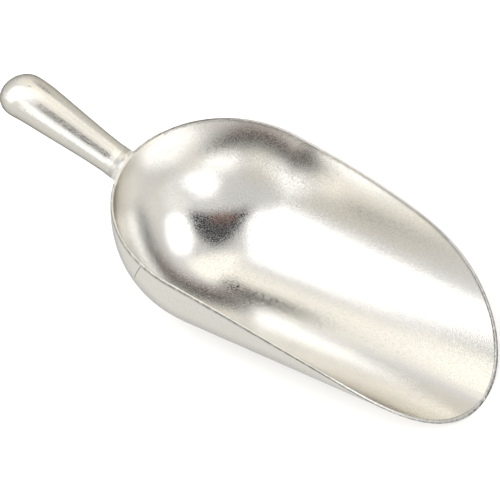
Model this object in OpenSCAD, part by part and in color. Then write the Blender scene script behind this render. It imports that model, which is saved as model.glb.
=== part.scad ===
// Cast aluminium ice scoop: round-backed bowl, hollow grip, threaded stud and neck weld.
// Millimetres. +X points to the lip, +Z up; the trough's underside lies on z = 0 and the
// origin is below the middle of the whole object.

/* [Bowl] */
// Outside radius of the trough and of the round back
bowl_r = 80; // [60:1:90]
// Length of the bowl from the back wall to the lip
bowl_len = 266; // [240:1:300]
// Wall thickness of the casting
wall = 2; // [1.6:0.1:3]
// Height of the square land at the lip's tip
lip_land = 0.8; // [0.5:0.1:1.5]

/* [Rim line, seen from the side] */
// Fall of the rim at the back wall, in degrees
back_fall = 2.6; // [1:0.1:4]
// Fall of the rim at the shoulder, in degrees
shoulder_fall = 16.4; // [12:0.1:20]
// Fall of the rim where the nose starts, in degrees
nose_fall = 35; // [28:0.1:40]
// Fall of the rim at the lip, in degrees
lip_fall = 43; // [41:0.5:50]
// Distance of the shoulder from the back wall
shoulder_x = 172; // [160:1:180]
// Distance of the nose from the back wall
nose_x = 225; // [210:1:230]

/* [Handle] */
// Tilt of the handle above level, in degrees
tilt = 20.3; // [15:0.1:24]
// Height at which the handle's axis meets the back wall
axis_z = 74; // [70:0.5:76]
// Distance along the axis from the back wall to the centre of the round end
bulb_at = 86.5; // [75:0.5:110]
// Radius of the round end
bulb_r = 15.8; // [14:0.1:18]
// Radius of the slimmest part of the neck
neck_r = 11.1; // [10.5:0.1:11.3]
// Wall thickness of the hollow grip
grip_wall = 2.2; // [1.8:0.1:3]

/* [Neck joint] */
// Radius of the joint faces of boss and handle
joint_r = 11.4; // [11.4:0.1:12]
// Distance along the axis from the back wall to the joint faces
joint_at = 9; // [8:0.5:11]
// Radius of the boss where it meets the back wall
boss_r = 12.2; // [11.6:0.1:13]
// Height of the pad that blends the boss into the back wall
pad_h = 3.5; // [2:0.5:5]
// Radius of the pad's top
pad_r = 10.8; // [9:0.1:11]
// Radius of the hollow fillet round the pad
pad_fillet = 6; // [4:0.5:8]
// Radius of the stud
stud_r = 4; // [3:0.5:5]
// Length of the stud inside the bowl's boss
stud_in_boss = 7; // [5:0.5:7]
// Length of the stud inside the handle
stud_in_grip = 15; // [10:0.5:18]
// Leg of the weld preparation on each joint face
weld_leg = 1.6; // [1:0.1:2.2]

/* [Hidden] */
$fn = 180;

// Stations of the rim line and its fall at each, with circular arcs between them
rim_at = [0, shoulder_x, nose_x, bowl_len];
rim_fall = [back_fall, shoulder_fall, nose_fall, lip_fall];
rim_steps = 52;

// Rate at which the sine of the fall grows along arc i: one over the arc's radius
function bend(i) = (sin(rim_fall[i + 1]) - sin(rim_fall[i])) / (rim_at[i + 1] - rim_at[i]);
// Drop along arc i from its start to x, held at its ends outside the arc
function arc_drop(i, x) =
    let (run = min(max(x, rim_at[i]), rim_at[i + 1]) - rim_at[i],
         s = sin(rim_fall[i]) + bend(i) * run)
    (cos(rim_fall[i]) - sqrt(1 - s * s)) / bend(i);
function rim_drop(x) = arc_drop(0, x) + arc_drop(1, x) + arc_drop(2, x);
rim_h = rim_drop(bowl_len) + lip_land;

// The object's middle, measured from the back wall
reach_back = bulb_at * cos(tilt) + bulb_r;
back_x = (reach_back - bowl_len) / 2;
margin = 10;
boss_root = 12;

// Grip profile: radius at a distance t along the axis, an even mix of a straight and an S taper
slim_at = joint_at + 6;
function ease(u) = 0.5 * u + 0.5 * (3 * u * u - 2 * u * u * u);
function grip_r(t) = t < slim_at
    ? joint_r + (neck_r - joint_r) * (t - joint_at) / (slim_at - joint_at)
    : neck_r + (bulb_r - neck_r) * ease((t - slim_at) / (bulb_at - slim_at));
grip_steps = 16;
dome_steps = 20;
plug_end = joint_at + stud_in_grip + 3;
// Points along the taper from one distance to another, and round the domed end
function taper(from, inset) = [for (i = [0:grip_steps])
    let (t = from + (bulb_at - from) * i / grip_steps) [grip_r(t) - inset, t]];
function dome(r) = [for (i = [1:dome_steps])
    let (a = 90 * i / dome_steps) [r * cos(a), bulb_at + r * sin(a)]];
function reversed(list) = [for (i = [len(list) - 1:-1:0]) list[i]];

// Puts a shape drawn along +Z from the back wall onto the handle's axis
module on_handle_axis() {
    translate([back_x, 0, axis_z]) rotate([0, tilt - 90, 0]) children();
}

// Solid of the trough and its round back, with the axis along +X
module round_body(r) {
    translate([back_x + bowl_r, 0, bowl_r]) rotate([0, 90, 0]) rotate_extrude()
    union() {
        intersection() {
            circle(r);
            translate([0, -r]) square([r, r]);
        }
        square([r, bowl_len - bowl_r + (r < bowl_r ? margin : 0)]);
    }
}

// Everything under the rim line
module under_rim() {
    translate([back_x, 0, 0]) rotate([90, 0, 0])
    linear_extrude(height = 2 * (bowl_r + margin), center = true)
    polygon(concat(
        [[bowl_len, -margin], [-margin, -margin], [-margin, rim_h]],
        [for (i = [0:rim_steps]) let (x = bowl_len * i / rim_steps) [x, rim_h - rim_drop(x)]]));
}

// Boss behind the back wall, on the handle's axis, with its half of the weld preparation
module boss() {
    on_handle_axis() rotate_extrude() polygon([
        [0, -boss_root], [boss_r, -boss_root], [joint_r, joint_at - weld_leg],
        [joint_r - weld_leg, joint_at], [0, joint_at]]);
}

// Pad that blends the boss into the back wall: a hollow fillet round the wall's own normal
module boss_pad() {
    dip = asin((bowl_r - axis_z) / bowl_r);
    fillet_steps = 10;
    translate([back_x + bowl_r, 0, bowl_r]) rotate([0, -90 - dip, 0]) rotate_extrude()
    polygon(concat(
        [[0, bowl_r - wall], [pad_r + pad_fillet, bowl_r - wall - pad_fillet]],
        [for (i = [0:fillet_steps]) let (a = 90 * i / fillet_steps)
            [pad_r + pad_fillet * (1 - sin(a)), bowl_r + pad_h - pad_fillet * cos(a)]],
        [[0, bowl_r + pad_h]]));
}

module bowl() {
    color("gainsboro") difference() {
        union() {
            intersection() {
                difference() {
                    round_body(bowl_r);
                    round_body(bowl_r - wall);
                }
                under_rim();
            }
            difference() {
                union() {
                    boss();
                    intersection() {
                        boss_pad();
                        under_rim();
                    }
                }
                round_body(bowl_r - wall);
            }
        }
        on_handle_axis() translate([0, 0, joint_at - stud_in_boss])
        cylinder(r = stud_r, h = stud_in_boss + margin);
    }
}

// Hollow grip, closed and round at its end, with a bored plug at its neck
module handle() {
    color("silver") on_handle_axis() rotate_extrude() polygon(concat(
        [[stud_r, joint_at], [joint_r - weld_leg, joint_at]],
        taper(joint_at + weld_leg, 0),
        dome(bulb_r),
        reversed(dome(bulb_r - grip_wall)),
        reversed(taper(plug_end, grip_wall)),
        [[stud_r, plug_end]]));
}

module handle_stud() {
    tip = 0.6;
    start = joint_at - stud_in_boss;
    end = joint_at + stud_in_grip;
    color("lightsteelblue") on_handle_axis() rotate_extrude() polygon([
        [0, start], [stud_r - tip, start], [stud_r, start + tip],
        [stud_r, end - tip], [stud_r - tip, end], [0, end]]);
}

// Weld metal in the groove round the neck, dressed flush
module neck_weld() {
    color("whitesmoke") on_handle_axis() rotate_extrude() polygon([
        [joint_r - weld_leg, joint_at], [joint_r, joint_at - weld_leg],
        [grip_r(joint_at + weld_leg), joint_at + weld_leg]]);
}

bowl();
handle();
handle_stud();
neck_weld();
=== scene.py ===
"""Cast aluminium ice scoop: detailed meshes, polished casting materials and a soft studio."""
import math

import bmesh
import bpy
import numpy as np
from mathutils import Matrix, Vector


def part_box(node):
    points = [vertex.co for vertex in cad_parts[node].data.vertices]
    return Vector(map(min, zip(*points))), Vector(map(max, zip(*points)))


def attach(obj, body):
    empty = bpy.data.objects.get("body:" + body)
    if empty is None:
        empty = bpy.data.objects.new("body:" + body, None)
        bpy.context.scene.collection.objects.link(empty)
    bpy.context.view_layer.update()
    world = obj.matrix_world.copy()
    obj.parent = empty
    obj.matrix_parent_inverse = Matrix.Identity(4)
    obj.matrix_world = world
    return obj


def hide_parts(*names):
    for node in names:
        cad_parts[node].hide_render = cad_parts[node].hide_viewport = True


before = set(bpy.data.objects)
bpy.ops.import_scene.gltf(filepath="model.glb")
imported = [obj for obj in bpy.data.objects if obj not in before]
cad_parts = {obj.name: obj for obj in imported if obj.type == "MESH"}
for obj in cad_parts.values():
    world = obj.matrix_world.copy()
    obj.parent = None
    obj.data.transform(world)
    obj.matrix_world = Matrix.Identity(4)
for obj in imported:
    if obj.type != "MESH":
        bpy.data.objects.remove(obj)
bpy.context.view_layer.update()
MM = 0.001

# Sizes that the CAD model is built on
BOWL_R = 0.5 * (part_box("bowl")[1].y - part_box("bowl")[0].y)
LIP_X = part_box("bowl")[1].x
BOWL_LEN = 266 * MM
BACK_X = LIP_X - BOWL_LEN
WALL = 2 * MM
LIP_LAND = 0.8 * MM
TILT = math.radians(20.3)
AXIS_Z = 74 * MM
BULB_AT = 86.5 * MM
BULB_R = 15.8 * MM
NECK_R = 11.1 * MM
GRIP_WALL = 2.2 * MM
JOINT_R = 11.4 * MM
JOINT_AT = 9 * MM
WELD_LEG = 1.6 * MM
STUD_R = 4 * MM
STUD_IN_BOSS = 7 * MM
STUD_IN_GRIP = 15 * MM

# The rim line is three arcs: where they start and end from the back wall, and its slope at each place
RIM_AT = [0, 172 * MM, 225 * MM, BOWL_LEN]
RIM_FALL = [math.radians(a) for a in (2.6, 16.4, 35, 43)]

# The handle's axis: where it leaves the back wall, which way it runs, and which way is up across it
HANDLE_START = Vector((BACK_X, 0, AXIS_Z))
HANDLE_ALONG = Vector((-math.cos(TILT), 0, math.sin(TILT)))
HANDLE_UP = Vector((math.sin(TILT), 0, math.cos(TILT)))

# How the round back is blended into the trough by hand, at the sides and under the heel: how far
# along it ends, in radii, and the power of its curve, where 2 is a circle
SIDE_END = 1.0
SIDE_EASE = 2.0
HEEL_END = 1.1
HEEL_EASE = 2.6


# ---------------------------------------------------------------- the rim line

def arc_drop(i, x):
    """How far arc i of the rim line has fallen at x, measured from the back wall."""
    bend = (math.sin(RIM_FALL[i + 1]) - math.sin(RIM_FALL[i])) / (RIM_AT[i + 1] - RIM_AT[i])
    run = np.clip(x, RIM_AT[i], RIM_AT[i + 1]) - RIM_AT[i]
    s = math.sin(RIM_FALL[i]) + bend * run
    return (math.cos(RIM_FALL[i]) - np.sqrt(1 - s * s)) / bend


def rim_drop(x):
    return sum(arc_drop(i, x) for i in range(len(RIM_AT) - 1))


RIM_H = float(rim_drop(BOWL_LEN)) + LIP_LAND


def rim_z(x):
    """Height of the rim over the table. The CAD lip's square land is worn away towards the tip."""
    wear = np.clip((x - RIM_AT[2]) / (BOWL_LEN - RIM_AT[2]), 0, 1)
    return RIM_H - rim_drop(x) - LIP_LAND * wear ** 2


def body_radius(x, radius, down):
    """Radius of the trough about its axis at x, for the outer or the inner skin.

    The round back runs out into the straight trough gradually. down is the squared cosine of the
    angle off straight down, because the heel runs out further than the sides do.
    """
    end = SIDE_END + (HEEL_END - SIDE_END) * down
    ease = SIDE_EASE + (HEEL_EASE - SIDE_EASE) * down
    x_run = np.clip(1 - (BOWL_R - x) / radius, 0, end)
    return radius * np.sqrt(1 - (1 - x_run / end) ** ease)


LEAST_AHEAD = 0.01 * MM


def swell(x, radius, down):
    """How much wider the blended back is at x than a round ball of that radius."""
    ahead = np.clip(x - BOWL_R + radius, LEAST_AHEAD, radius)
    return body_radius(BOWL_R - radius + ahead, radius, down) / np.sqrt(ahead * (2 * radius - ahead))


def half_width(x, z, radius):
    """Half-width of the bowl at x and height z, for the outer or the inner skin."""
    reach = body_radius(x, radius, ((BOWL_R - z) / radius) ** 2)
    return np.sqrt(np.clip(reach ** 2 - (z - BOWL_R) ** 2, 0, None))


# ---------------------------------------------------------------- mesh helpers

SHARP_ANGLE = math.radians(40)
LARGE_FACE_WEIGHT = 80


def new_piece(name, bm):
    """Makes a smooth-shaded piece from a bmesh, with normals that lean towards its larger faces."""
    mesh = bpy.data.meshes.new(name)
    bm.to_mesh(mesh)
    bm.free()
    for polygon in mesh.polygons:
        polygon.use_smooth = True
    mesh.set_sharp_from_angle(angle=SHARP_ANGLE)
    piece = bpy.data.objects.new(name, mesh)
    bpy.context.scene.collection.objects.link(piece)
    weighted = piece.modifiers.new("weighted_normals", "WEIGHTED_NORMAL")
    weighted.keep_sharp = True
    weighted.weight = LARGE_FACE_WEIGHT
    return piece


def add_grid(bm, rows):
    """Adds rows of points as quads and returns the rows of vertices. Rows hold equally many points."""
    verts = [[bm.verts.new(p) for p in row] for row in rows]
    for a, b in zip(verts, verts[1:]):
        for i in range(len(a) - 1):
            bm.faces.new((a[i], a[i + 1], b[i + 1], b[i]))
    return verts


def join_rows(bm, a, b, closed=True):
    """Quads between two rows of vertices that run the same way, as closed rings or open lines."""
    n = len(a)
    for i in range(n if closed else n - 1):
        j = (i + 1) % n
        bm.faces.new((a[i], a[j], b[j], b[i]))


# ---------------------------------------------------------------- the bowl

# Columns of points run from the rim down to the centre line, which stops SPINE_END short of the tip
BACK_STATIONS = 96
SIDE_STATIONS = 190
ROWS = 46
SPINE_END = 26 * MM
RIM_SAMPLES = 4000
LIFT_ROUNDS = 8
MERGE_DIST = 0.002 * MM
SLIVER_DIST = 0.001 * MM
NOT_ZERO = 1e-9


def back_column(angle, radius):
    """Points from the rim down the round back, in the upright plane at a plan angle from its middle.

    lift is the angle of the rim over the level of the back's centre, found in a few rounds.
    """
    lift = 0.0
    for _ in range(LIFT_ROUNDS):
        x = BOWL_R - radius * math.cos(lift) * math.cos(angle)
        lift = math.asin((float(rim_z(x)) - BOWL_R) / (radius * float(swell(x, radius, 0.0))))
    lifts = lift + (-math.pi / 2 - lift) * np.linspace(0, 1, ROWS + 1)
    x = BOWL_R - radius * np.cos(lifts) * math.cos(angle)
    aside = (np.cos(lifts) * math.sin(angle)) ** 2
    down = np.sin(lifts) ** 2 / np.maximum(np.sin(lifts) ** 2 + aside, NOT_ZERO)
    reach = radius * swell(x, radius, down)
    return np.stack([
        x, reach * np.cos(lifts) * math.sin(angle), BOWL_R + reach * np.sin(lifts)], axis=1)


def side_stations(count, radius):
    """x of rim stations from the round back to the tip, evenly spaced along the rim.

    Returns them with each one's share of the way, and with the tip's x.
    """
    tip = BOWL_LEN - (BOWL_R - radius) / math.tan(RIM_FALL[3])
    t = np.linspace(0, math.pi / 2, RIM_SAMPLES)
    x = BOWL_R + (tip - BOWL_R) * np.sin(t)
    z = np.clip(rim_z(x), BOWL_R - radius, None)
    y = half_width(x, z, radius)
    y[-1] = 0
    step = np.sqrt(np.diff(x) ** 2 + np.diff(y) ** 2 + np.diff(z) ** 2)
    length = np.concatenate([[0], np.cumsum(step)])
    wanted = np.linspace(0, length[-1], count + 1)
    return np.interp(wanted, length, x), wanted / length[-1], tip


def shell_half(radius):
    """One half of the bowl's skin, as columns of points from the rim down to the centre line."""
    angles = np.linspace(0, math.pi / 2, BACK_STATIONS + 1)
    columns = [back_column(angle, radius) for angle in angles[:-1]]
    xs, share, tip = side_stations(SIDE_STATIONS, radius)
    spine = BOWL_R + (tip - SPINE_END - BOWL_R) * share
    down = np.linspace(0, 1, ROWS + 1)
    for i, x in enumerate(xs):
        width = half_width(x, rim_z(x), radius) if i < SIDE_STATIONS else 0.0
        turns = math.atan2(width, BOWL_R - rim_z(x)) * (1 - down)
        x_line = x + (spine[i] - x) * down
        reach = body_radius(x_line, radius, np.cos(turns) ** 2)
        columns.append(np.stack([x_line, reach * np.sin(turns), BOWL_R - reach * np.cos(turns)], axis=1))
    return np.array(columns)


def bowl_shell():
    """The trough with its round back: outer and inner skins, rim and nose, as one closed mesh."""
    bm = bmesh.new()
    rims = []
    for radius in (BOWL_R, BOWL_R - WALL):
        half = shell_half(radius) + np.array([BACK_X, 0, 0])
        for side in (1, -1):
            points = half * np.array([1, side, 1])
            verts = add_grid(bm, points)
            rims.append([column[0] for column in verts])
    for outer, inner in ((rims[0], rims[2]), (rims[1], rims[3])):
        join_rows(bm, outer, inner, closed=False)
    bmesh.ops.remove_doubles(bm, verts=bm.verts, dist=MERGE_DIST)
    bmesh.ops.dissolve_degenerate(bm, edges=bm.edges, dist=SLIVER_DIST)
    bmesh.ops.recalc_face_normals(bm, faces=bm.faces)
    return bm


def axis_point(t, r=0.0, theta=0.0):
    """A point t along the handle's axis from the back wall, r out from it; theta 0 is upwards."""
    out = HANDLE_UP * math.cos(theta) + Vector((0, math.sin(theta), 0))
    return HANDLE_START + HANDLE_ALONG * t + out * r


FOOT_R = 15.4 * MM
FOOT_DIP = math.radians(6.1)
FOOT_ROWS = 12
CUT_DIST = 1e-4 * MM


def add_boss(bm):
    """Opens the back wall's outer skin on a round foot and grows the boss out of it.

    Each line of the flare is a cubic that leaves along the wall and arrives along the axis.
    """
    centre = Vector((BACK_X + BOWL_R, 0, BOWL_R))
    normal = Vector((-math.cos(FOOT_DIP), 0, -math.sin(FOOT_DIP)))
    plane = centre + normal * math.sqrt(BOWL_R ** 2 - FOOT_R ** 2)
    bmesh.ops.bisect_plane(
        bm, geom=bm.verts[:] + bm.edges[:] + bm.faces[:], dist=CUT_DIST,
        plane_co=plane, plane_no=normal, clear_outer=True)
    cut_edges = [e for e in bm.edges if len(e.link_faces) == 1]
    loop = {v for e in cut_edges for v in e.verts}

    def theta(v):
        arm = v.co - HANDLE_START
        return math.atan2(arm.y, arm.dot(HANDLE_UP))

    foot = sorted(loop, key=theta)
    angles = [theta(v) for v in foot]
    last = JOINT_AT - WELD_LEG
    rows = [foot]
    ends = [axis_point(last, JOINT_R, a) for a in angles]
    for k in range(1, FOOT_ROWS + 1):
        s = k / FOOT_ROWS
        row = []
        for v, end in zip(foot, ends):
            gap = (end - v.co).length
            out = (v.co - centre).normalized()
            inward = plane - v.co
            inward = (inward - out * inward.dot(out)).normalized()
            rise = 3 * s ** 2 - 2 * s ** 3
            leave = s ** 3 - 2 * s ** 2 + s
            arrive = s ** 3 - s ** 2
            place = v.co * (1 - rise) + end * rise
            place += inward * (gap * leave) + HANDLE_ALONG * (gap * arrive)
            row.append(bm.verts.new(place))
        rows.append(row)
    for t, r in ((JOINT_AT, JOINT_R - WELD_LEG), (JOINT_AT, STUD_R), (JOINT_AT - STUD_IN_BOSS, STUD_R)):
        rows.append([bm.verts.new(axis_point(t, r, a)) for a in angles])
    for a, b in zip(rows, rows[1:]):
        join_rows(bm, a, b)
    bm.faces.new(rows[-1])
    bmesh.ops.recalc_face_normals(bm, faces=bm.faces)


RIM_ROUND = 0.7 * MM
RIM_EDGE_ANGLE = math.radians(30)
RIM_NEAR = 0.05 * MM
BACK_NEAR = 0.5 * MM

# Painted shade on the roundings, a dark line that stands in for the dark reflections along the rim's
# edges:
# shares of the wall's thickness from the inner skin, and strengths
EDGE_SHADE_FADE = 0.2
INNER_AT = 0.1
INNER_STRENGTH = 0.6
OUTER_FROM = 0.85
OUTER_WIDER = 0.25
OUTER_STRENGTH = 0.7
FAR_SIDE_BLEND = 40 * MM


def clamp(value):
    return min(1.0, max(0.0, value))


def soften_rim(bm):
    """Rounds the two edges of the rim, and marks the roundings for painted shade: a dark line that
    stands in for the dark reflections along the rim's edges.

    Towards the lip the painted shade on the outer edge grows, and on the far side it also widens.
    """
    edges = [e for e in bm.edges if e.is_manifold and e.calc_face_angle(0) > RIM_EDGE_ANGLE
             and all(v.co.x > BACK_X - BACK_NEAR for v in e.verts)
             and all(v.co.z > 0 for v in e.verts)]
    rim = [e for e in edges if all(
        abs(v.co.z - rim_z(max(0, v.co.x - BACK_X))) < RIM_NEAR for v in e.verts)]
    rounded = bmesh.ops.bevel(bm, geom=rim, offset=RIM_ROUND, offset_type="OFFSET", segments=4,
                              profile=0.5, affect="EDGES", clamp_overlap=True)
    painted_edge_shade = bm.verts.layers.float.new("painted_edge_shade")
    for vert in {v for face in rounded["faces"] for v in face.verts}:
        x = max(0.0, vert.co.x - BACK_X)
        back = min(0.0, x - BOWL_R)
        reach = math.sqrt(back ** 2 + vert.co.y ** 2 + (vert.co.z - BOWL_R) ** 2)
        outward = (reach - BOWL_R + WALL) / WALL
        to_lip = clamp((x - RIM_AT[1]) / (RIM_AT[3] - RIM_AT[1]))
        far_side = clamp(0.5 + vert.co.y / FAR_SIDE_BLEND)
        inner = clamp(1 - abs(outward - INNER_AT) / EDGE_SHADE_FADE) * INNER_STRENGTH
        short = OUTER_FROM - OUTER_WIDER * to_lip * far_side - outward
        strength = OUTER_STRENGTH + (1 - OUTER_STRENGTH) * to_lip
        outer = clamp(1 - max(0.0, short) / EDGE_SHADE_FADE) * strength
        vert[painted_edge_shade] = max(inner, outer)


def build_bowl():
    bm = bowl_shell()
    add_boss(bm)
    soften_rim(bm)
    return new_piece("bowl_casting", bm)


# ---------------------------------------------------------------- the handle

GRIP_SIDES = 120
GRIP_STEPS = 56
CAVITY_STEPS = 24
PLUG_PAST_STUD = 3 * MM
SLIM_AT = JOINT_AT + 6 * MM
DROOP = 5.5 * MM
DROOP_FROM = 70 * MM


def grip_radius(t):
    """Radius of the grip at t along the axis: an even mix of a straight and an S taper."""
    if t < SLIM_AT:
        return JOINT_R + (NECK_R - JOINT_R) * (t - JOINT_AT) / (SLIM_AT - JOINT_AT)
    u = (t - SLIM_AT) / (BULB_AT - SLIM_AT)
    return NECK_R + (BULB_R - NECK_R) * 0.5 * (u + 3 * u * u - 2 * u ** 3)


def grip_point(t, r, theta):
    """As axis_point, with the round end drooping a little below the axis."""
    sag = DROOP * (max(0.0, t - DROOP_FROM) / (BULB_AT + BULB_R - DROOP_FROM)) ** 2
    return axis_point(t, r, theta) - HANDLE_UP * sag


def grip_profile(inset, start, steps):
    """(t, r) along the grip and round its closed end, set in by inset, and then the tip's t."""
    side = [(t, grip_radius(t) - inset) for t in np.linspace(start, BULB_AT, steps)]
    turns = np.linspace(0, math.pi / 2, steps // 2 + 1)[1:]
    dome = [(BULB_AT + (BULB_R - inset) * math.sin(a), (BULB_R - inset) * math.cos(a)) for a in turns]
    return side + dome[:-1], dome[-1][0]


def build_handle():
    bm = bmesh.new()
    outer, outer_tip = grip_profile(0, JOINT_AT + WELD_LEG, GRIP_STEPS)
    plug_end = JOINT_AT + STUD_IN_GRIP + PLUG_PAST_STUD
    inner, inner_tip = grip_profile(GRIP_WALL, plug_end, CAVITY_STEPS)
    socket = [(plug_end, STUD_R), (JOINT_AT, STUD_R), (JOINT_AT, JOINT_R - WELD_LEG)]
    profile = socket + outer
    angles = [2 * math.pi * i / GRIP_SIDES for i in range(GRIP_SIDES)]

    def ring(t, r):
        return [bm.verts.new(grip_point(t, r, a)) for a in angles]

    rings = [ring(t, r) for t, r in profile]
    cavity = [ring(t, r) for t, r in inner]
    for a, b in zip(rings, rings[1:]):
        join_rows(bm, a, b)
    for a, b in zip(cavity, cavity[1:]):
        join_rows(bm, a, b)
    join_rows(bm, rings[0], cavity[0])
    for last, tip in ((rings[-1], outer_tip), (cavity[-1], inner_tip)):
        top = bm.verts.new(grip_point(tip, 0, 0))
        for i in range(GRIP_SIDES):
            bm.faces.new((last[i], last[(i + 1) % GRIP_SIDES], top))
    bmesh.ops.recalc_face_normals(bm, faces=bm.faces)
    return new_piece("handle_grip", bm)


# ---------------------------------------------------------------- materials

GRIT_SIZE = 0.5 * MM
PATCH_SIZE = 9 * MM
HAZE_SIZE = 34 * MM
HAIRLINE_SIZE = 0.6 * MM
HAIRLINE_STRETCH = (24, 1, 1)
EDGE_SHADE_GAP_SIZE = 2.5 * MM
HAZE_COOLING = (0.025, 0.018, 0.01, 0)
PATCH_ROUGHER = 0.03
PIT_COLOUR = (0.52, 0.50, 0.47, 1)
PIT_SHARE = 0.3
# The dark line on the rim's roundings is painted shade, standing in for the dark reflections along its
# edges
PAINTED_EDGE_SHADE_COLOUR = (0.07, 0.065, 0.055, 1)
EDGE_SHADE_ROUGHER = 0.3
LINE_COLOUR = (0.20, 0.19, 0.18, 1)
LINE_SHARE = 0.75

# A fine line shows only on the skin that it was left on, down to this depth
LINE_SKIN = 1.2 * MM
LINE_SKIN_FADE = 0.4 * MM


class Nodes:
    """Adds and links shader nodes of one material, with all coordinates in metres on the object."""

    def __init__(self, name):
        self.material = bpy.data.materials.new(name)
        self.material.use_nodes = True
        self.tree = self.material.node_tree
        self.shader = self.tree.nodes["Principled BSDF"]
        self.place = self.tree.nodes.new("ShaderNodeTexCoord").outputs["Object"]

    def add(self, kind, inputs=None, **settings):
        node = self.tree.nodes.new(kind)
        for key, value in settings.items():
            setattr(node, key, value)
        for key, value in (inputs or {}).items():
            if isinstance(value, bpy.types.NodeSocket):
                self.tree.links.new(value, node.inputs[key])
            else:
                node.inputs[key].default_value = value
        return node

    def noise(self, size, detail, stretch=(1, 1, 1)):
        """Noise with features about size across, stretched along the axes."""
        scaled = self.add("ShaderNodeMapping", {"Vector": self.place, "Scale": [1 / k for k in stretch]})
        return self.add("ShaderNodeTexNoise", {
            "Vector": scaled.outputs["Vector"], "Scale": 1 / size, "Detail": detail}).outputs["Fac"]

    def spread(self, value, low, high, to_low, to_high):
        """Maps value from one range to another, clamped, with soft ends."""
        return self.add("ShaderNodeMapRange", {
            "Value": value, "From Min": low, "From Max": high, "To Min": to_low, "To Max": to_high},
            interpolation_type="SMOOTHSTEP").outputs["Result"]

    def share(self, value, low, high):
        """How far value is from low to high, as 0 to 1 with soft ends."""
        return self.spread(value, low, high, 0.0, 1.0)

    def math(self, operation, first, second):
        return self.add("ShaderNodeMath", {0: first, 1: second}, operation=operation).outputs["Value"]

    def blend(self, share, first, second):
        return self.add("ShaderNodeMix", {"Factor": share, "A": first, "B": second},
                        data_type="RGBA").outputs["Result"]

    def bump(self, height, distance, strength, under=None):
        inputs = {"Height": height, "Distance": distance, "Strength": strength}
        if under is not None:
            inputs["Normal"] = under
        return self.add("ShaderNodeBump", inputs).outputs["Normal"]

    def line_mark(self, start, end, outward, half):
        """Share of one thin straight line that runs over the surface from start to end."""
        along = (end - start).normalized()
        across = along.cross(outward).normalized()

        def measure(direction):
            dot = self.add("ShaderNodeVectorMath", {0: self.place, 1: direction}, operation="DOT_PRODUCT")
            return self.math("SUBTRACT", dot.outputs["Value"], start.dot(direction))

        run = measure(along)
        length = (end - start).length
        aside = self.math("ABSOLUTE", measure(across), 0.0)
        line = self.spread(aside, 0.4 * half, half, 1.0, 0.0)
        begun = self.share(run, -half, half)
        unended = self.spread(run, length - 4 * half, length, 1.0, 0.0)
        skin = self.share(measure(outward), -LINE_SKIN - LINE_SKIN_FADE, -LINE_SKIN)
        stroke = self.math("MULTIPLY", line, begun)
        rest = self.math("MULTIPLY", unended, skin)
        return self.math("MULTIPLY", stroke, rest)

    def finish(self, colour, roughness, normal, edge_tint):
        """Joins everything to the shader. edge_tint is the metal's reflectance at a glancing angle."""
        for key, value in (("Base Color", colour), ("Roughness", roughness), ("Normal", normal)):
            self.tree.links.new(value, self.shader.inputs[key])
        self.shader.inputs["Metallic"].default_value = 1.0
        self.shader.inputs["Specular Tint"].default_value = edge_tint
        return self.material


def cast_metal(name, gloss, tone, grain, edge_tint, mark=None, sanded=0.0):
    """Tumble-polished cast aluminium: warm grey-white metal with fine grain, haze and hairlines.

    gloss is the roughness of the polished ground, and grain is how much rougher its fine pits are.
    mark is a fine line left on the casting: its start, end, direction outwards and half-width.
    sanded is how much rougher the metal behind the back wall is, where the boss was dressed.
    """
    n = Nodes(name)
    grit = n.noise(GRIT_SIZE, detail=0.0)
    patches = n.noise(PATCH_SIZE, detail=2.0)
    haze = n.noise(HAZE_SIZE, detail=1.0)
    hairline = n.noise(HAIRLINE_SIZE, detail=0.0, stretch=HAIRLINE_STRETCH)
    pits = n.share(grit, 0.5, 0.68)
    # Painted shade: a dark, broken line on the rim's roundings, standing in for the dark reflections
    # along its edges
    painted_edge_shade = n.add("ShaderNodeAttribute", attribute_name="painted_edge_shade").outputs["Fac"]
    gaps = n.spread(n.noise(EDGE_SHADE_GAP_SIZE, detail=2.0), 0.3, 0.6, to_low=0.5, to_high=1.0)
    broken_edge_shade = n.math("MULTIPLY", painted_edge_shade, gaps)

    cooler = [part - drop for part, drop in zip(tone, HAZE_COOLING)]
    colour = n.blend(n.share(haze, 0.35, 0.65), tone, cooler)
    colour = n.blend(n.math("MULTIPLY", pits, PIT_SHARE), colour, PIT_COLOUR)
    colour = n.blend(broken_edge_shade, colour, PAINTED_EDGE_SHADE_COLOUR)

    rough = n.spread(patches, 0.3, 0.7, to_low=gloss, to_high=gloss + PATCH_ROUGHER)
    rough = n.math("ADD", rough, n.math("MULTIPLY", pits, grain))
    rough = n.math("ADD", rough, n.math("MULTIPLY", broken_edge_shade, EDGE_SHADE_ROUGHER))
    if sanded:
        x = n.add("ShaderNodeSeparateXYZ", {"Vector": n.place}).outputs["X"]
        behind = n.spread(x, BACK_X - 3 * MM, BACK_X + 1 * MM, to_low=sanded, to_high=0.0)
        rough = n.math("ADD", rough, behind)

    normal = n.bump(haze, distance=0.25 * MM, strength=0.3)
    normal = n.bump(hairline, distance=0.01 * MM, strength=0.3, under=normal)
    normal = n.bump(grit, distance=0.045 * MM, strength=1.0, under=normal)
    if mark:
        line = n.line_mark(*mark)
        colour = n.blend(n.math("MULTIPLY", line, LINE_SHARE), colour, LINE_COLOUR)
        groove = n.math("MULTIPLY", line, -1.0)
        normal = n.bump(groove, distance=0.1 * MM, strength=0.5, under=normal)
    return n.finish(colour, rough, normal, edge_tint)


# ---------------------------------------------------------------- stage, light and camera

CAMERA_AZ = math.radians(30.555)
CAMERA_EL = math.radians(45.56)
CAMERA_DISTANCE = 20 * BOWL_R
CAMERA_RIGHT = 0.9824885 * BOWL_R
CAMERA_UP = -0.0025915 * BOWL_R
VIEW_WIDTH = 4.2483049 * BOWL_R
SENSOR_MM = 36


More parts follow.
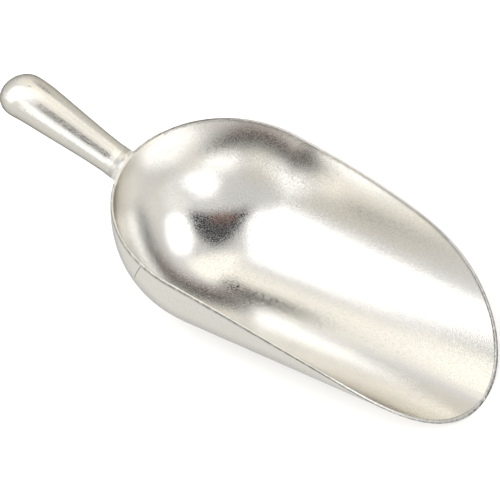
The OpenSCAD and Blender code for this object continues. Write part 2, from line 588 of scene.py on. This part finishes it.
def add_camera():
    """A long lens on the scoop from its front right. The view is VIEW_WIDTH across at the scoop."""
    back = Vector((math.sin(CAMERA_AZ) * math.cos(CAMERA_EL),
                   -math.cos(CAMERA_AZ) * math.cos(CAMERA_EL), math.sin(CAMERA_EL)))
    right = Vector((math.cos(CAMERA_AZ), math.sin(CAMERA_AZ), 0))
    up = back.cross(right)
    place = Vector((BACK_X, 0, 0)) + right * CAMERA_RIGHT + up * CAMERA_UP + back * CAMERA_DISTANCE
    data = bpy.data.cameras.new("camera")
    data.sensor_width = SENSOR_MM
    data.lens = SENSOR_MM * CAMERA_DISTANCE / VIEW_WIDTH
    data.clip_end = 100
    camera = bpy.data.objects.new("camera", data)
    turn = Matrix((right, up, back)).transposed()
    camera.matrix_world = Matrix.Translation(place) @ turn.to_4x4()
    bpy.context.scene.collection.objects.link(camera)
    bpy.context.scene.camera = camera


FLOOR_HALF = 3
PAPER_COLOUR = (0.93, 0.925, 0.915, 1)
WORLD_COLOUR = (1.0, 0.985, 0.965, 1)
WORLD_STRENGTH = 0.72


def add_floor():
    """A sheet of matt white paper under the scoop."""
    bm = bmesh.new()
    bmesh.ops.create_grid(bm, x_segments=1, y_segments=1, size=FLOOR_HALF)
    mesh = bpy.data.meshes.new("floor")
    bm.to_mesh(mesh)
    bm.free()
    floor = bpy.data.objects.new("floor", mesh)
    bpy.context.scene.collection.objects.link(floor)
    material = bpy.data.materials.new("floor_paper")
    material.use_nodes = True
    shader = material.node_tree.nodes["Principled BSDF"]
    shader.inputs["Base Color"].default_value = PAPER_COLOUR
    shader.inputs["Roughness"].default_value = 1.0
    shader.inputs["Specular IOR Level"].default_value = 0.0
    mesh.materials.append(material)


def add_world():
    world = bpy.data.worlds.new("studio")
    bpy.context.scene.world = world
    world.use_nodes = True
    background = world.node_tree.nodes["Background"]
    background.inputs["Color"].default_value = WORLD_COLOUR
    background.inputs["Strength"].default_value = WORLD_STRENGTH


def add_light(name, place, target, size, power):
    """A soft light for the floor, left out of the metal's reflections."""
    data = bpy.data.lights.new(name, "AREA")
    data.shape = "RECTANGLE"
    data.size, data.size_y = size
    data.energy = power
    light = bpy.data.objects.new(name, data)
    light.location = place
    light.rotation_euler = (Vector(place) - Vector(target)).to_track_quat("Z", "Y").to_euler()
    light.visible_glossy = False
    bpy.context.scene.collection.objects.link(light)


CARD_DISTANCE = 1.2
CARD_CENTRE = Vector((0, 0, 0.05))


def toward(spot):
    """Unit vector to a spot of the studio: degrees off straight up, towards +X and towards +Y."""
    off = math.radians(math.hypot(*spot))
    turn = math.atan2(spot[1], spot[0])
    return Vector((math.sin(off) * math.cos(turn), math.sin(off) * math.sin(turn), math.cos(off)))


def card_mesh(name, outline, feather, place):
    """A fan of faces from the middle of the outline. Its cover runs from 0 to 1 across the feather.

    place turns a corner of the outline into a point of the scene.
    """
    middle = [sum(k) / len(outline) for k in zip(*outline)]
    rings = []
    for inset in (-0.5 * feather, 0.5 * feather, 1.0):
        spots = [[c + (m - c) * inset for c, m in zip(corner, middle)] for corner in outline]
        rings.append([place(spot) for spot in spots])
    sides = len(outline)
    points = [*rings[0], *rings[1], rings[2][0]]
    faces = [(i, (i + 1) % sides, sides + (i + 1) % sides, sides + i) for i in range(sides)]
    faces += [(sides + i, sides + (i + 1) % sides, 2 * sides) for i in range(sides)]
    mesh = bpy.data.meshes.new(name)
    mesh.from_pydata(points, [], faces)
    cover = mesh.attributes.new("cover", "FLOAT", "POINT")
    cover.data.foreach_set("value", [0.0] * sides + [1.0] * (sides + 1))
    return mesh


def card_material(name, colour, strength, added):
    """A glow that hides what stands behind the card or, if added, is added to it."""
    material = bpy.data.materials.new(name)
    material.use_nodes = True
    tree = material.node_tree
    tree.nodes.remove(tree.nodes["Principled BSDF"])
    glow = tree.nodes.new("ShaderNodeEmission")
    glow.inputs["Color"].default_value = (*colour, 1)
    glow.inputs["Strength"].default_value = strength
    face = glow.outputs["Emission"]
    clear = tree.nodes.new("ShaderNodeBsdfTransparent").outputs["BSDF"]
    if added:
        both = tree.nodes.new("ShaderNodeAddShader")
        tree.links.new(clear, both.inputs[0])
        tree.links.new(face, both.inputs[1])
        face = both.outputs["Shader"]
    cover = tree.nodes.new("ShaderNodeAttribute")
    cover.attribute_name = "cover"
    mix = tree.nodes.new("ShaderNodeMixShader")
    tree.links.new(cover.outputs["Fac"], mix.inputs["Fac"])
    tree.links.new(clear, mix.inputs[1])
    tree.links.new(face, mix.inputs[2])
    tree.links.new(mix.outputs["Shader"], tree.nodes["Material Output"].inputs["Surface"])
    return material


def add_card(name, outline, colour, strength, feather, nearer=0.0, only_for=(), on_floor=False):
    """A glowing or dark card of the studio, seen only in reflections, with a feathered edge.

    Its outline is in degrees as for toward(), or in metres on the floor, where nearer lifts it.
    A card for only some pieces adds its glow to what stands behind it, in their reflections.
    """
    def place(spot):
        if on_floor:
            return Vector((*spot, nearer))
        return CARD_CENTRE + toward(spot) * (CARD_DISTANCE - nearer)

    mesh = card_mesh(name, outline, feather, place)
    mesh.materials.append(card_material(name, colour, strength, added=bool(only_for)))
    card = bpy.data.objects.new(name, mesh)
    card.visible_camera = False
    card.visible_diffuse = False
    card.visible_shadow = False
    if only_for:
        receivers = bpy.data.collections.new(name + "_receivers")
        for piece in only_for:
            receivers.objects.link(piece)
        card.light_linking.receiver_collection = receivers
    bpy.context.scene.collection.objects.link(card)


WHITE = (1.0, 0.995, 0.985)
CREAM = (1.0, 0.96, 0.86)
BEIGE = (1.0, 0.955, 0.85)
PAPER = (1.0, 0.985, 0.93)
GREY = (1.0, 0.985, 0.965)
DARK = (0.95, 0.97, 1.0)
WARM = (1.0, 0.55, 0.42)


def add_softboxes():
    """The three bright sources, at the front right, the far right and the left."""
    add_card("softbox_front_right",
             [(47, -40), (56, -28), (80, -16), (89, -12), (84, -34), (66, -54), (51, -56)],
             WHITE, strength=1.5, feather=0.1)
    add_card("softbox_far_right",
             [(23, 29), (33, 42), (47, 40), (68, 26), (68, 12), (57, 2), (45, 3), (33, 12)],
             WHITE, strength=1.55, feather=0.1)
    add_card("softbox_left",
             [(-60, -70), (-26, -56), (-21, -51), (-7, -46), (-1, -33), (-9, -18), (-17, 1),
              (-22, 2), (-60, 0), (-84, -25)],
             WHITE, strength=1.6, feather=0.1)


def add_reflectors():
    """Softer cream reflectors to the left and overhead, and the room's dull walls low down."""
    add_card("reflector_low",
             [(-60, 10), (-14, 9), (-15, 42), (-30, 47), (-60, 42)],
             CREAM, strength=0.98, feather=0.12)
    add_card("reflector_high",
             [(-12, 7), (-9, -4), (4, 7), (16, 21), (20, 38), (1, 42), (-10, 40), (-14, 22)],
             CREAM, strength=1.2, feather=0.16)
    add_card("wall_near",
             [(-60, -74), (-28, -62), (-14, -60), (-12, -84), (-50, -86)],
             BEIGE, strength=0.6, feather=0.2)
    add_card("wall_far",
             [(-60, 52), (0, 50), (45, 54), (70, 70), (0, 92), (-60, 75)],
             BEIGE, strength=0.68, feather=0.2)


def add_gaps(bowl, grip):
    """The dull and dark gaps between the sources.

    gap_front is dark for the handle only: the fill in front of it brings it back up for the bowl.
    gap_back is meant for the bowl, and the fill behind it lifts its soft edge for the handle.
    """
    add_card("gap_middle",
             [(-2, -12), (14, 3), (24, 14), (20, 30), (10, 12), (-6, -2)],
             GREY, strength=0.6, feather=0.3)
    add_card("gap_right",
             [(62, -15), (72, -9), (87, -5), (89, 14), (80, 26), (71, 14), (66, 2), (61, -3)],
             PAPER, strength=0.9, feather=0.25)
    gap_front = [(0, -46), (31, -40), (44, -58), (40, -76), (-8, -80), (-10, -62)]
    add_card("gap_front", gap_front, GREY, strength=0.03, feather=0.12)
    add_card("gap_front_fill", gap_front, GREY, strength=0.61, feather=0.12,
             nearer=0.05, only_for=[bowl])
    add_card("dark_gap",
             [(60, -3), (44, -17), (31, -28), (18, -37), (1, -47), (1, -30), (3, -11), (10, 4),
              (27, 7), (45, 3)],
             DARK, strength=0.06, feather=0.08, nearer=0.1)
    add_card("warm_card",
             [(40, -18), (26, -29), (10, -39), (13, -27), (28, -17)],
             WARM, strength=0.22, feather=0.5, nearer=0.2)
    gap_back = [(-15, 35), (-17, 40), (-20, 46), (-30, 49), (-34, 37), (-24, 32), (-19, 29), (-16, 30)]
    add_card("gap_back", gap_back, BEIGE, strength=0.05, feather=0.3, nearer=0.8)
    add_card("gap_back_fill", gap_back, CREAM, strength=1.08, feather=0.3,
             nearer=0.78, only_for=grip)


def add_grip_cards(grip):
    """Glows that only the handle shows, on its top and along its near edge."""
    add_card("grip_reflector",
             [(-10, 8), (50, 8), (50, -8), (24, -24), (-2, -26), (-14, -10)],
             CREAM, strength=0.85, feather=0.4, nearer=0.3, only_for=grip)
    add_card("grip_edge_light",
             [(-26, -54), (-8, -54), (8, -64), (34, -60), (34, -84), (8, -90), (-28, -89)],
             WHITE, strength=1.1, feather=0.2, nearer=0.3, only_for=grip)


def add_floor_cards():
    """How the lit paper looks in the metal, as sheets seen only in reflections: bright, and a dark sheet
    of painted contact shadow close round the scoop.
    """
    add_card("floor_glow",
             [(-1, -1), (1, -1), (1, 1), (-1, 1)],
             PAPER, strength=0.76, feather=0.1, nearer=0.3 * MM, on_floor=True)
    # A dark sheet of painted contact shadow under the scoop, seen only in reflections
    add_card("painted_contact_shadow",
             [(-0.12, -0.02), (-0.05, -0.055), (0.05, -0.055), (0.15, -0.03), (0.15, 0.03),
              (0.05, 0.06), (-0.05, 0.06), (-0.12, 0.03)],
             DARK, strength=0.42, feather=0.7, nearer=0.6 * MM, on_floor=True)


# ---------------------------------------------------------------- assembly

bpy.context.scene.view_settings.view_transform = "Standard"
add_camera()
add_floor()
add_world()
add_light("floor_light", place=(0.25, -0.75, 1.6), target=(0, 0, 0), size=(3.0, 3.0), power=42)
add_light("shadow_fill", place=(-0.5, -1.3, 0.6), target=(0, -0.1, 0), size=(1.4, 0.8), power=20)

# Each mark is where its line starts and ends, the direction outwards and its half-width
mould_line = (Vector((-27.8, -76.5, 81.5)) * MM, Vector((-37.1, -70.3, 60.1)) * MM,
              Vector((-0.354, -0.928, -0.116)), 0.45 * MM)
nick = (Vector((-160.2, -3, 116.4)) * MM, Vector((-157.4, -2.4, 116.6)) * MM,
        Vector((0.1, -0.1, 0.99)), 0.4 * MM)

bowl_metal = cast_metal(
    "polished_casting", gloss=0.04, tone=(0.96, 0.945, 0.915, 1), grain=0.28,
    edge_tint=(0.95, 0.94, 0.92, 1), mark=mould_line, sanded=0.3)
handle_metal = cast_metal(
    "polished_handle", gloss=0.19, tone=(0.88, 0.86, 0.82, 1), grain=0.34,
    edge_tint=(0.16, 0.15, 0.13, 1), mark=nick)
weld_metal = cast_metal(
    "dressed_weld", gloss=0.30, tone=(0.74, 0.72, 0.68, 1), grain=0.2,
    edge_tint=(0.4, 0.38, 0.35, 1))
stud_metal = cast_metal(
    "stud_steel", gloss=0.22, tone=(0.62, 0.61, 0.60, 1), grain=0.2,
    edge_tint=(0.5, 0.5, 0.5, 1))

bowl = build_bowl()
bowl.data.materials.append(bowl_metal)
handle = build_handle()
handle.data.materials.append(handle_metal)
grip_pieces = [handle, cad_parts["neck_weld"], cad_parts["handle_stud"]]
add_softboxes()
add_reflectors()
add_gaps(bowl, grip_pieces)
add_grip_cards(grip_pieces)
add_floor_cards()
for piece, node, slot in ((bowl, "bowl", "polished_casting"), (handle, "handle", "polished_handle")):
    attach(piece, "root")
    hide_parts(node)
for node, metal in (("handle_stud", stud_metal), ("neck_weld", weld_metal)):
    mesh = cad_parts[node].data
    mesh.materials.clear()
    mesh.materials.append(metal)
